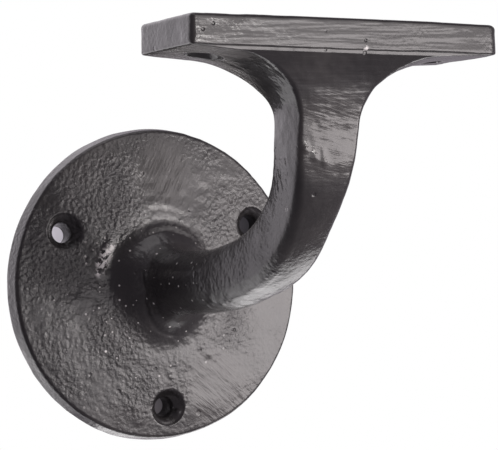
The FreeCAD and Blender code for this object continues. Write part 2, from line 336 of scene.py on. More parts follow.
def plate_profile():
    """(radius, distance from the wall) of the turned plate, from its back's middle to the arm's foot."""
    rim_r = in_mm("plate_diameter") / 2
    front_r = rim_r - in_mm("rim_draft")
    back = [(share * rim_r, 0.0) for share in BACK_SHARES]
    inset, rise = quarter_round(BACK_ROUND, EDGE_STEPS)
    back_edge = np.stack([rim_r - inset, rise], -1)
    share = np.linspace(0, 1, RIM_STEPS)[1:]
    round_r = in_mm("rim_round")
    rim_end = in_mm("plate_rim") - round_r
    rim = np.stack([
        mix(rim_r, front_r, share * rim_end / in_mm("plate_rim")), mix(BACK_ROUND, rim_end, share)], -1)
    slope = math.asin(front_r / sphere_radius())
    turn = np.linspace(0, math.pi / 2 - slope, ROUND_STEPS)[1:]
    edge = rim[-1] + np.stack([-round_r * (1 - np.cos(turn)), round_r * np.sin(turn)], -1)
    hollow_r = in_mm("root_radius")
    meeting = hollow_at() * sphere_radius() / (sphere_radius() + hollow_r)
    radius = np.linspace(edge[-1, 0], meeting, FACE_STEPS)[1:]
    lift = edge[-1, 1] - face_height(edge[-1, 0])
    fade = 1 - ease((edge[-1, 0] - radius) / RIM_BLEND)
    face = np.stack([radius, face_height(radius) + lift * fade], -1)
    turn = np.linspace(math.acos((hollow_at() - meeting) / hollow_r), 0, HOLLOW_STEPS)[1:]
    hollow = np.stack([hollow_at() - hollow_r * np.cos(turn), foot_height() - hollow_r * np.sin(turn)], -1)
    for part in (face, hollow):
        gap = np.linalg.norm(part - face[-1], axis=-1)
        part[:, 1] += MEETING_FILL * np.exp(-(gap / MEETING_REACH) ** 2)
    return np.concatenate([back, back_edge, rim, edge, face, hollow])


def plate_rings():
    """The profile turned round the Y axis."""
    radius, out = plate_profile().T
    angles = np.radians(even_angles())
    return np.stack([
        radius[:, None] * np.cos(angles), np.repeat(-out[:, None], RING_COUNT, 1),
        -radius[:, None] * np.sin(angles)], -1)


def arm_pieces():
    """The arm's middle line as a run, three arcs and a run: (length, radius, start climb, y, z)."""
    arcs = [(in_mm("rise_radius"), sizes().rise_angle), (in_mm("bend_radius"), sizes().bend_angle)]
    arcs.append((in_mm("top_radius"), math.pi / 2 - sizes().rise_angle - sizes().bend_angle))
    climbs = np.concatenate([[0], np.cumsum([turn for _, turn in arcs])])
    reach = sum(r * (math.sin(climbs[i + 1]) - math.sin(climbs[i])) for i, (r, _) in enumerate(arcs))
    y = -foot_height()
    run = y - mount_at("rail_face")[1] - reach
    pieces = [(run, math.inf, 0.0, y, 0.0)]
    y, z = y - run, 0.0
    for i, (radius, turn) in enumerate(arcs):
        pieces.append((radius * turn, radius, climbs[i], y, z))
        y -= radius * (math.sin(climbs[i + 1]) - math.sin(climbs[i]))
        z += radius * (math.cos(climbs[i]) - math.cos(climbs[i + 1]))
    pieces.append((NECK_RUN, math.inf, math.pi / 2, y, z))
    return pieces


def arm_line(places):
    """Centre y, centre z and climb at distances along the middle line.

    On an arc of radius R from climb a to climb b, y falls by R (sin b - sin a) and z grows by
    R (cos a - cos b).
    """
    y, z, climb = (np.zeros_like(places) for _ in range(3))
    left = places.copy()
    done = np.zeros(len(places), bool)
    for piece, radius, start, y0, z0 in arm_pieces():
        here = ~done & (left <= piece)
        gone = left[here]
        if math.isinf(radius):
            y[here], z[here], climb[here] = y0 - gone * math.cos(start), z0 + gone * math.sin(start), start
        else:
            end = start + gone / radius
            y[here] = y0 - radius * (np.sin(end) - math.sin(start))
            z[here] = z0 + radius * (math.cos(start) - np.cos(end))
            climb[here] = end
        done |= here
        left = np.where(done, left, left - piece)
    return y, z, climb


def saddle_edge_z():
    return mount_at("rail_face")[2] - in_mm("saddle_thickness")


def flare_start_z():
    return saddle_edge_z() - in_mm("under_fall") - in_mm("flare_rise") * math.sin(sizes().flare_turn)


def distance_at(z):
    """Distance along the middle line where it reaches a height."""
    places = np.linspace(0, sum(piece[0] for piece in arm_pieces()[:-1]) + ARM_PAST, LINE_STEPS)
    return np.interp(z, arm_line(places)[1], places)


def depth_at(z):
    """Half depth at a height, on a hollow round from the neck out to the saddle's edge."""
    neck, side_r = in_mm("neck_depth") / 2, in_mm("flare_side")
    growth = in_mm("saddle_width") / 2 - neck
    rise = math.sqrt(side_r ** 2 - (side_r - growth) ** 2)
    above = np.clip(z - (saddle_edge_z() - rise), 0.0, rise)
    return neck + side_r - np.sqrt(side_r ** 2 - above ** 2)


def arm_rings():
    """Round foot to the neck: the section eases from a circle into a rounded box."""
    pieces = arm_pieces()
    run = pieces[0][0]
    waist = run + pieces[1][0] + pieces[2][0] / 2
    neck = float(distance_at(flare_start_z()))
    places = np.linspace(0, neck, ARM_STEPS + 1)[1:]
    up = ease((places - waist) / (neck - waist))
    square = ease((places - run) / (waist - run))
    bulge = np.full(len(places), in_mm("face_bulge"))
    centre_y, centre_z, climb = arm_line(places)
    deeper = depth_at(centre_z) - in_mm("neck_depth") / 2
    edge_r = mix(in_mm("waist_edge"), in_mm("neck_edge"), up)
    points = section_points(
        mix(in_mm("waist_width"), in_mm("neck_width"), up) / 2,
        mix(in_mm("waist_depth"), in_mm("neck_depth"), up) / 2 + deeper,
        np.repeat(edge_r[:, None], 4, 1), bulge, bulge, square)
    return placed(sampled_rings(section_outline(points), square), centre_y, centre_z, climb)


def saddle_corners():
    return np.array(sizes().saddle_corners) / MM


def flare_rings():
    """Quarter ellipse from the neck out under the saddle: half width w + run (1 - cos a)."""
    turn = np.linspace(0, sizes().flare_turn, FLARE_STEPS + 1)[1:]
    spread = 1 - np.cos(turn)
    z = flare_start_z() + in_mm("flare_rise") * np.sin(turn)
    share = turn / sizes().flare_turn
    keel = (in_mm("flare_run_middle") - in_mm("flare_run")) * spread
    corners = mix(in_mm("neck_edge"), saddle_corners(), share[:, None])
    points = section_points(
        in_mm("neck_width") / 2 + in_mm("flare_run") * spread, depth_at(z), corners,
        in_mm("face_bulge") + keel, in_mm("face_bulge") * np.cos(turn), np.ones(FLARE_STEPS))
    rings = sampled_rings(section_outline(points), np.ones(FLARE_STEPS))
    return placed(rings, *arm_line(distance_at(z)))


def saddle_ring(inset):
    """The saddle's outline pulled in by each inset."""
    inset = np.asarray(inset, float)
    corners = np.maximum(saddle_corners() - inset[:, None], 0.05)
    points = section_points(
        in_mm("saddle_length") / 2 - inset, in_mm("saddle_width") / 2 - inset, corners,
        0 * inset, 0 * inset, np.ones(len(inset)))
    rings = sampled_rings(section_outline(points), np.ones(len(inset)))
    return rings + (in_mm("saddle_shift"), 0.0)


def saddle_rings(last_flare):
    """Underside out to the lower edge, up the sides, over the softened edge and in across the top."""
    _, y, top = mount_at("rail_face")
    low = saddle_edge_z()
    lower_inset, lower_rise = quarter_round(LOWER_ROUND, EDGE_STEPS)
    side_z = np.linspace(low + LOWER_ROUND, top - in_mm("saddle_edge"), SIDE_STEPS)[1:]
    top_drop, top_inset = quarter_round(in_mm("saddle_edge"), TOP_STEPS)
    inset = np.concatenate([lower_inset, 0 * side_z, top_inset[1:]])
    z = np.concatenate([low + lower_rise, side_z, top - top_drop[1:]])
    rings = placed(saddle_ring(inset), np.full(len(z), y), z, np.full(len(z), math.pi / 2))
    share = np.linspace(0, 1, UNDER_STEPS)[1:-1, None, None]
    under = mix(last_flare, rings[0], share)
    middle = np.array([in_mm("saddle_shift"), y, top])
    cover = mix(rings[-1], middle, np.array(TOP_SHARES)[:, None, None])
    return np.concatenate([under, rings, cover])


def rounded_ends(rings):
    """Wear the saddle's ends round: points outside each corner's arc, in X and Z, move onto it."""
    middle = in_mm("saddle_shift")
    top, low = mount_at("rail_face")[2], saddle_edge_z()
    for side, level, radius in END_ROUNDS:
        corner_x = middle + side * (in_mm("saddle_length") / 2 - radius)
        corner_z = top - radius if level > 0 else low + radius
        away = np.stack([rings[..., 0] - corner_x, rings[..., 2] - corner_z], -1)
        gone = np.linalg.norm(away, axis=-1)
        outside = (away[..., 0] * side > 0) & (away[..., 1] * level > 0) & (gone > radius)
        pull = np.where(outside, radius / np.maximum(gone, 1e-6), 1.0)
        rings[..., 0] = corner_x + away[..., 0] * pull
        rings[..., 2] = corner_z + away[..., 1] * pull
    return rings


def casting_grid():
    """All rings of the casting, from the middle of the plate's back to the middle of the saddle's top."""
    flare = flare_rings()
    saddle = rounded_ends(saddle_rings(flare[-1]))
    return np.concatenate([plate_rings(), arm_rings(), flare, saddle])


# ---- skin of the casting ----
NOISE_TABLE = 32  # lattice points each way before the noise repeats
# sizes of the noise's cells, in millimetres
SLOW_CELL, HALF_SLOW_CELL = 11.0, 5.0
PATCH_CELL = 13.0
PEBBLE_CELL, FINE_PEBBLE_CELL = 1.9, 1.1
RIDGE_CELL, RIDGE_SEED = 6.0, 77
CALM_LIP, CALM_REACH = 0.2, 2.5  # the skin is smooth this near a countersink, and full this far out
FLAT_NORMAL = 0.99  # a face whose normal is this near the axis counts as flat
TOP_BAND = 0.9  # the flat top is looked for this far down


def lattice_noise(points, seed):
    """Random values on a cubic lattice, joined in each cell by the fade 6 s^5 - 15 s^4 + 10 s^3."""
    table = np.random.default_rng(seed).uniform(-1, 1, (NOISE_TABLE,) * 3)
    cell = np.floor(points).astype(int)
    share = points - cell
    share = share ** 3 * (share * (share * 6 - 15) + 10)
    total = np.zeros(points.shape[:-1])
    for corner in np.ndindex(2, 2, 2):
        weight = np.prod(np.where(corner, share, 1 - share), -1)
        x, y, z = np.moveaxis((cell + corner) % NOISE_TABLE, -1, 0)
        total += weight * table[x, y, z]
    return total


def grid_normals(grid):
    """Cross product of the grid's two directions at each point."""
    along = np.gradient(grid, axis=0)
    around = np.roll(grid, -1, 1) - np.roll(grid, 1, 1)
    normal = np.cross(around, along)
    return normal / np.maximum(np.linalg.norm(normal, axis=-1, keepdims=True), 1e-9)


# dents pressed into the skin: (x, y, z, radius, depth) in millimetres
DENTS = [
    (-5.6, -88.6, 27.0, 1.0, 0.42), (-3.4, -88.5, 25.4, 1.1, 0.40), (-1.0, -88.5, 24.4, 1.0, 0.42),
    (-1.4, -88.6, 26.4, 0.8, 0.30), (-4.0, -88.6, 29.6, 0.7, 0.16), (-5.0, -41.8, -5.4, 1.2, 0.28),
    (-5.4, -43.6, -4.8, 1.0, 0.25), (-4.3, -45.9, -5.3, 0.9, 0.22), (-4.6, -50.5, -4.6, 1.1, 0.20),
    (-4.4, -39.2, -6.2, 1.0, 0.22), (-3.9, -57.3, -3.5, 0.7, 0.12), (-5.9, -55.5, 8.6, 0.6, 0.10),
    (-7.5, -5.2, -29.5, 1.1, 0.22), (-9.2, -5.3, -26.5, 0.9, 0.14), (-6.4, -5.2, -33.0, 0.8, 0.12),
    (1.1, -4.9, -35.0, 0.7, 0.35), (-13.6, -7.0, 10.6, 1.2, 0.30), (-14.5, -7.0, 8.9, 1.3, 0.42),
    (-15.2, -7.0, 7.0, 1.3, 0.50), (-15.8, -7.0, 5.0, 1.3, 0.48), (-16.1, -6.9, 3.0, 1.2, 0.36),
    (1.6, -6.6, -21.3, 0.6, 0.26), (2.0, -6.4, -22.5, 0.6, 0.26), (2.4, -6.3, -23.7, 0.6, 0.22),
]
DENT_FALL = 1.6  # a dent's depth falls as exp(-1.6 (distance / radius)^2)
# raised rings cast round the arm's root: (radius, from degrees, to degrees, width, height) in millimetres
ROOT_RIDGES = [
    (10.0, 60, 120, 0.6, 0.16), (12.4, 52, 128, 0.6, 0.20),
    (14.8, 48, 125, 0.7, 0.16), (17.6, 60, 110, 0.8, 0.07), (20.5, 62, 104, 0.9, 0.05),
]
RIDGE_WOBBLE = 0.5  # millimetres that a ring strays from its circle
RIDGE_FADE, SEAM_FADE = 18, 12  # degrees over which they fade at their ends
# the seam where the arm leaves the hollow: (degrees round the root, degrees out of the hollow)
SEAM = [(150, 34), (166, 27), (192, 21), (209, 28), (235, 40), (259, 52), (285, 61)]
SEAM_WIDTH, SEAM_RISE = 0.55, 0.26


def round_root(grid):
    """Radius from the arm's axis, and degrees round it, of each point."""
    return np.hypot(grid[..., 0], grid[..., 2]), np.degrees(np.arctan2(grid[..., 2], grid[..., 0])) % 360


def root_seam(grid):
    """A raised line h exp(-(d / w)^2) on the hollow, with d measured along the hollow's arc."""
    radius, turn = round_root(grid)
    out = np.arctan2(foot_height() + grid[..., 1], hollow_at() - radius)
    line = np.radians(np.interp(turn, *np.array(SEAM, float).T))
    ends = ease((turn - SEAM[0][0]) / SEAM_FADE) * ease((SEAM[-1][0] - turn) / SEAM_FADE)
    line_gap = (out - line) * in_mm("root_radius")
    near_root = (grid[..., 1] > -foot_height()) & (radius < hollow_at())
    return np.where(near_root, SEAM_RISE * ends * np.exp(-(line_gap / SEAM_WIDTH) ** 2), 0.0)


def root_ridges(grid):
    """Sum of rings h exp(-((r - r0) / w)^2), each faded out at the ends of its arc."""
    radius, turn = round_root(grid)
    wobble = RIDGE_WOBBLE * lattice_noise(grid / RIDGE_CELL, RIDGE_SEED)
    height = np.zeros(radius.shape)
    for place, first, last, width, rise in ROOT_RIDGES:
        ends = ease((turn - first) / RIDGE_FADE) * ease((last - turn) / RIDGE_FADE)
        height += rise * ends * np.exp(-((radius + wobble - place) / width) ** 2)
    return np.where(grid[..., 1] > -foot_height() - 1.0, height, 0.0)


def skin_height(grid, normal):
    """Height in millimetres of the skin: slow waves, pebbling in patches, rings, seam and dents."""
    finish = bpy.context.scene.bracket_finish
    seed = finish.seed
    slow = lattice_noise(grid / SLOW_CELL, seed) + 0.5 * lattice_noise(grid / HALF_SLOW_CELL, seed + 1)
    patches = ease(0.55 + 0.9 * lattice_noise(grid / PATCH_CELL, seed + 2))
    pebble = lattice_noise(grid / PEBBLE_CELL, seed + 3)
    pebble += 0.6 * lattice_noise(grid / FINE_PEBBLE_CELL, seed + 4)
    height = finish.waviness * slow + finish.hammer * (0.35 + patches) * pebble
    height += root_ridges(grid) + root_seam(grid)
    for x, y, z, radius, depth in DENTS:
        away = np.linalg.norm(grid - (x, y, z), axis=-1) / radius
        height -= depth * np.exp(-away ** 2 * DENT_FALL)
    for x, z in wall_hole_places():
        gap = np.hypot(grid[..., 0] - x, grid[..., 2] - z) - in_mm("sink_diameter") / 2 - CALM_LIP
        height = np.where(grid[..., 1] > -foot_height(), height * ease(gap / CALM_REACH), height)
    flat_back = (np.abs(normal[..., 1]) > FLAT_NORMAL) & (grid[..., 1] > -0.01)
    flat_top = (normal[..., 2] > FLAT_NORMAL) & (grid[..., 2] > mount_at("rail_face")[2] - TOP_BAND)
    return np.where(flat_back | flat_top, 0.0, height)


def closed_mesh(name, grid, first_pole, last_pole):
    """A mesh from a grid of rings, closed by a fan to a point at each end."""
    rows, columns = grid.shape[:2]
    points = np.concatenate([grid.reshape(-1, 3), [first_pole, last_pole]]) * MM
    index = np.arange(rows * columns).reshape(rows, columns)
    beside = np.roll(index, -1, 1)
    quads = np.stack([index[:-1], beside[:-1], beside[1:], index[1:]], -1).reshape(-1, 4)
    first = np.stack([np.full(columns, rows * columns), beside[0], index[0]], -1)
    last = np.stack([np.full(columns, rows * columns + 1), index[-1], beside[-1]], -1)
    corners = np.concatenate([quads.ravel(), first.ravel(), last.ravel()])
    counts = np.concatenate([np.full(len(quads), 4), np.full(2 * columns, 3)])
    mesh = bpy.data.meshes.new(name)
    mesh.vertices.add(len(points))
    mesh.vertices.foreach_set("co", points.astype(np.float32).ravel())
    mesh.loops.add(len(corners))
    mesh.loops.foreach_set("vertex_index", corners.astype(np.int32))
    mesh.polygons.add(len(counts))
    mesh.polygons.foreach_set("loop_start", (np.cumsum(counts) - counts).astype(np.int32))
    mesh.update(calc_edges=True)
    if mesh.validate():
        raise RuntimeError(name + " has faulty faces")
    return mesh


def added(data):
    """A new object for a mesh, lamp or camera, with its name."""
    made = bpy.data.objects.new(data.name, data)
    bpy.context.scene.collection.objects.link(made)
    return made


# ---- screw holes ----
CUTTER_COUNT = 72  # points round a hole
FIRST_HOLE_TURN = -88.2  # degrees from +X to the lowest wall hole
# lengths in millimetres
LIP_ROUND = 0.45  # softened lip of a countersink
CONE_BLEND = 0.15  # chamfer between cone and shaft
PLUG_OUT = 3.0  # how far a cutter stands out of the face
PLUG_FLARE = (0.35, 0.9)  # how much wider than the lip it is there, near the face and at its end
WALL_PAST, RAIL_PAST = 0.5, 2.0  # how far the cutters go past the far side
FOLLOW_FROM, FOLLOW_REACH = 0.2, 1.2  # depth where a cutter starts to leave the dome's slope, and over which
LEAN_FROM = 1.0  # depth where a shaft starts to lean
SHAFT_DRAFT = 0.25  # how much smaller in radius a wall hole is at the back
# how far each wall hole's shaft leans off its countersink's axis at the back
SHAFT_ASIDE = [(-1.3, 0.0, 0.5), (-0.2, 0.0, 0.0), (-0.3, 0.0, -0.9)]
# drops of paint that dried on the countersinks: (x, y, z, radius, height)
PAINT_DROPS = [(4.6, -4.3, -30.9, 0.75, 0.50), (-21.5, -4.3, 11.8, 0.7, 0.35)]


def hole_profile(sink_r, hole_r, back_r, depth):
    """(radius, depth below the face) of a countersunk hole with a paint-softened lip."""
    lip_r = sink_r + LIP_ROUND * math.tan(math.pi / 8)
    turn = np.linspace(0, math.pi / 4, 6)
    lip = np.stack([lip_r - LIP_ROUND * np.sin(turn), LIP_ROUND * (1 - np.cos(turn))], -1)
    low, wide = PLUG_FLARE
    outside = [(0.0, -PLUG_OUT), (lip_r + wide, -PLUG_OUT), (lip_r + low, -0.1 * PLUG_OUT)]
    cone_end = sink_r - hole_r
    cone_foot = np.array([hole_r + CONE_BLEND, cone_end - CONE_BLEND])
    cone = mix(lip[-1], cone_foot, np.linspace(0, 1, 9)[1:, None])
    shaft = [(hole_r, cone_end + 0.1), (mix(hole_r, back_r, 0.5), mix(cone_end, depth, 0.5)),
             (back_r, depth), (0.0, depth)]
    return np.concatenate([outside, lip, cone, shaft])


def hole_cutter(name, mouth, inward, profile, rise=None, aside=(0.0, 0.0, 0.0)):
    """The profile turned round the axis from the mouth inward: a closed plug to cut out of the casting.

    rise gives how much higher the face is at a point than at the mouth's middle, and the lip follows it.
    aside moves the shaft off the countersink's axis, the more so the deeper it goes.
    """
    radius, depth = profile.T
    angles = np.arange(CUTTER_COUNT) * 2 * math.pi / CUTTER_COUNT
    inward = np.array(inward, float)
    first = np.cross(inward, (0.0, 0.6, 0.8))
    first /= np.linalg.norm(first)
    second = np.cross(inward, first)
    outward = np.cos(angles)[:, None] * first + np.sin(angles)[:, None] * second
    rings = mouth + depth[1:-1, None, None] * inward + radius[1:-1, None, None] * outward
    if rise is not None:
        follows = 1 - ease((depth[1:-1] - FOLLOW_FROM) / FOLLOW_REACH)
        rings -= (rise(rings) * follows[:, None])[..., None] * inward
    wall = -(outward + inward) * math.sqrt(0.5)
    for *drop, reach, swell in PAINT_DROPS:
        away = np.linalg.norm(rings - drop, axis=-1) / reach
        rings += (swell * np.exp(-away ** 2))[..., None] * wall
    shaft = np.clip((depth - LEAN_FROM) / (depth[-1] - LEAN_FROM), 0.0, 1.0)
    rings += shaft[1:-1, None, None] * np.array(aside)
    return closed_mesh(name, rings, mouth + depth[0] * inward, mouth + depth[-1] * inward + np.array(aside))


def wall_hole_places():
    """(x, z) of the three countersunk holes on a circle, the first one almost straight below the arm."""
    dims = MOUNTS["wall_screws"]["dims"]
    x, _, z = mount_at("wall_screws")
    turns = math.radians(FIRST_HOLE_TURN) + 2 * math.pi * np.arange(dims["count"]) / dims["count"]
    return np.stack([x + dims["pcd_mm"] / 2 * np.cos(turns), z + dims["pcd_mm"] / 2 * np.sin(turns)], -1)


def wall_hole_cutters():
    """The three wall holes, each with its own lean."""
    hole_r = MOUNTS["wall_screws"]["dims"]["hole_r_mm"]
    for x, z, aside in zip(*wall_hole_places().T, SHAFT_ASIDE):
        height = float(face_height(math.hypot(x, z)))
        profile = hole_profile(in_mm("sink_diameter") / 2, hole_r, hole_r - SHAFT_DRAFT, height + WALL_PAST)
        yield hole_cutter(
            "wall_hole", np.array([x, -height, z]), (0.0, 1.0, 0.0), profile,
            lambda points: face_height(np.hypot(points[..., 0], points[..., 2])) - height, aside)


def rail_hole_cutters():
    """Countersunk holes up through the saddle, one near each end."""
    x, y, _ = mount_at("rail_screws")
    dims = MOUNTS["rail_screws"]["dims"]
    depth = in_mm("saddle_thickness") + in_mm("rail_sink_lip") + RAIL_PAST
    profile = hole_profile(in_mm("sink_diameter") / 2, dims["hole_r_mm"], dims["hole_r_mm"], depth)
    for side in (-1, 1):
        mouth = (x + side * dims["spacing_x_mm"] / 2, y, saddle_edge_z() - in_mm("rail_sink_lip"))
        yield hole_cutter("rail_hole", np.array(mouth), (0.0, 0.0, 1.0), profile)


def cut_holes(casting):
    """Take the plugs out of the casting and keep the result in its mesh."""
    cutters = [added(mesh) for mesh in [*wall_hole_cutters(), *rail_hole_cutters()]]
    for cutter in cutters:
        bore = casting.modifiers.new("Screw hole", "BOOLEAN")
        bore.operation, bore.solver, bore.object = "DIFFERENCE", "EXACT", cutter
    evaluated = casting.evaluated_get(bpy.context.evaluated_depsgraph_get())
    cut = bpy.data.meshes.new_from_object(evaluated)
    casting.modifiers.clear()
    casting.data = cut
    for cutter in cutters:
        bpy.data.objects.remove(cutter)


# ---- materials ----
class Nodes:
    """Short words for wiring one node tree. An input is a value, or a socket to link."""

    def __init__(self, tree):
        self.tree = tree

    def feed(self, socket, value):
        if isinstance(value, bpy.types.NodeSocket):
            self.tree.links.new(value, socket)
        else:
            socket.default_value = value

    def add(self, kind, inputs=None, **settings):
        node = self.tree.nodes.new(kind)
        for key, value in settings.items():
            setattr(node, key, value)
        for key, value in (inputs or {}).items():
            self.feed(node.inputs[key], value)
        return node

    def maths(self, operation, *inputs):
        return self.add("ShaderNodeMath", dict(enumerate(inputs)), operation=operation).outputs[0]

    def noise(self, vector, scale, detail, roughness):
        return self.add("ShaderNodeTexNoise", {
            "Vector": vector, "Scale": scale, "Detail": detail, "Roughness": roughness}).outputs["Fac"]

    def band(self, value, low, high):
        """0 below low, 1 above high."""
        return self.add("ShaderNodeMapRange", {"Value": value, "From Min": low, "From Max": high},
                        interpolation_type="SMOOTHSTEP").outputs["Result"]

    def blend(self, share, first, second):
        """The first colour where share is 0, the second where it is 1."""
        return self.add("ShaderNodeMix", {0: share, 6: first, 7: second}, data_type="RGBA").outputs[2]


def new_group(name, inputs, output):
    """A node group's words, its given sockets and its result's socket."""
    group = bpy.data.node_groups.new(name, "ShaderNodeTree")
    for label, default in {"Vector": (0.0, 0.0, 0.0), **inputs}.items():
        kind = "NodeSocketFloat" if isinstance(default, float) else "NodeSocketVector"
        group.interface.new_socket(name=label, in_out="INPUT", socket_type=kind).default_value = default
    group.interface.new_socket(name=output, in_out="OUTPUT", socket_type="NodeSocketFloat")
    nodes = Nodes(group)
    return nodes, nodes.add("NodeGroupInput").outputs, nodes.add("NodeGroupOutput").inputs[output]


def new_material(name):
    """A material, the words for its nodes, and its shader."""
    material = bpy.data.materials.new(name)
    material.use_nodes = True
    return material, Nodes(material.node_tree), material.node_tree.nodes["Principled BSDF"]


DRAWN_OUT = 0.08  # marks are narrower than long by this factor


def pebble_group():
    """Orange-peel skin of thick paint on a sand casting: cells and noise, stronger where Amount is."""
    nodes, given, result = new_group("Pebbled skin", {"Scale": 900.0, "Amount": 1.0}, "Height")
    cells = nodes.add("ShaderNodeTexVoronoi", {"Vector": given["Vector"], "Scale": given["Scale"]},
                      feature="SMOOTH_F1")
    fine = nodes.noise(given["Vector"], given["Scale"], 4.0, 0.62)
    bumps = nodes.maths("MULTIPLY_ADD", cells.outputs["Distance"], -0.7, fine)
    nodes.feed(result, nodes.maths("MULTIPLY", bumps, given["Amount"]))
    return nodes.tree


def streak_group():
    """Grinding and brush marks: noise drawn out along one direction."""
    nodes, given, result = new_group(
        "Grinding marks", {"Turn": (0.0, 0.0, 0.0), "Scale": 900.0, "Amount": 1.0}, "Height")
    turned = nodes.add("ShaderNodeVectorRotate", {"Vector": given["Vector"], "Rotation": given["Turn"]},
                       rotation_type="EULER_XYZ").outputs["Vector"]
    drawn = nodes.add("ShaderNodeVectorMath", {0: turned, 1: (DRAWN_OUT, 1.0, 1.0)}, operation="MULTIPLY")
    marks = nodes.noise(drawn.outputs["Vector"], given["Scale"], 3.0, 0.65)
    nodes.feed(result, nodes.maths("MULTIPLY", marks, given["Amount"]))
    return nodes.tree


def spot_group():
    """Small round spots of uneven size: the middles of a few cells, chosen by the cell's random value."""
    nodes, given, result = new_group("Spots", {"Scale": 350.0, "Share": 0.2, "Size": 0.3}, "Mask")
    cells = nodes.add("ShaderNodeTexVoronoi", {"Vector": given["Vector"], "Scale": given["Scale"]})
    lot = nodes.add("ShaderNodeSeparateColor", {"Color": cells.outputs["Color"]})
    chosen = nodes.maths("LESS_THAN", lot.outputs["Red"], given["Share"])
    spread = nodes.maths("MULTIPLY_ADD", lot.outputs["Green"], 0.9, 0.5)
    far = nodes.maths("DIVIDE", cells.outputs["Distance"], nodes.maths("MULTIPLY", given["Size"], spread))
    inside = nodes.maths("SUBTRACT", 1.0, nodes.band(far, 0.4, 1.0))
    nodes.feed(result, nodes.maths("MULTIPLY", inside, chosen))
    return nodes.tree


# where the skin is strongly pebbled: (place, full within, gone beyond, strength) in millimetres
PEBBLE_FIELDS = [
    ((-15.0, -6.0, 21.0), 5, 13, 0.70), ((18.0, -6.0, -11.0), 1, 12, 0.35),
    ((-5.0, -6.0, -27.0), 2, 7, 0.50), ((-13.0, -6.0, -13.0), 3, 10, 0.60),
    ((20.0, -6.0, 16.0), 3, 12, 0.45), ((-27.0, -6.0, 3.0), 3, 10, 0.60), ((7.0, -6.0, -26.0), 1, 5, 0.45),
]
# marks of a brush or a wheel: (place, full within, gone beyond), degrees from +X, scale, depth
BRUSHED = {
    "arm": (((0.0, -89.0, 30.0), 7, 13), -14, 600.0, 0.34),
    "face": (((1.0, -6.0, 27.0), 4, 12), 62, 700.0, 0.40),
    "low": (((15.0, -6.0, -26.0), 6, 13), -38, 700.0, 0.30),
    "saddle": (((0.0, -97.0, 50.0), 30, 45), 2, 260.0, 0.55),
}
# where pale specks are scattered round the arm's root: partly dust, partly painted glints
DUST_AND_GLINT_FIELD = ((-8.0, -20.0, -8.0), 12, 34)
# slow changes over the paint: noise scale, detail and roughness, and the values it rises between
SKIN_PATCHES = (70.0, 2.0, 0.5, 0.40, 0.66)
THIN_PATCHES = (45.0, 4.0, 0.6, 0.45, 0.72)
# the last row breaks the painted glint patch and the other pale spots into blotches
WORN_AND_GLINT_PATCHES = (900.0, 3.0, 0.6, 0.47, 0.56)
SKIN_LEAST, SKIN_SPAN = 0.20, 0.34  # strength of the pebbling outside the fields, and its spread
BRUSH_CALM = 0.85  # how much of the pebbling a brushed place loses
PEBBLE_SCALE = 1080.0
PITS, PIT_DEPTH = {"Scale": 420.0, "Share": 0.07, "Size": 0.26}, 0.3
# pale specks, partly dust and partly painted glints
DUST_AND_GLINT_SPECKS = {"Scale": 640.0, "Share": 0.34, "Size": 0.20}
BUMP_DEPTH = 0.00040  # metres that a height of 1 stands for
ROUGHNESS, ROUGHNESS_SPAN, BRUSHED_ROUGHNESS = 0.26, 0.22, 0.08
# pale spots: the first four are a painted highlight, the bright glint patch left of the arm's root; the last
# three are small pale spots on the saddle's lower front edge and the arm's front
WORN_AND_GLINT_SPOTS = [
    ((-13.9, -7.0, 8.8), 0.4, 1.5), ((-15.1, -7.0, 7.0), 0.8, 2.0), ((-16.1, -7.0, 5.0), 0.9, 2.1),
    ((-16.8, -7.0, 2.8), 0.5, 1.6), ((4.9, -97.0, 47.6), 0.2, 0.9), ((-6.6, -84.0, 33.4), 0.3, 0.9),
    ((-5.8, -80.6, 14.6), 0.2, 0.8),
]


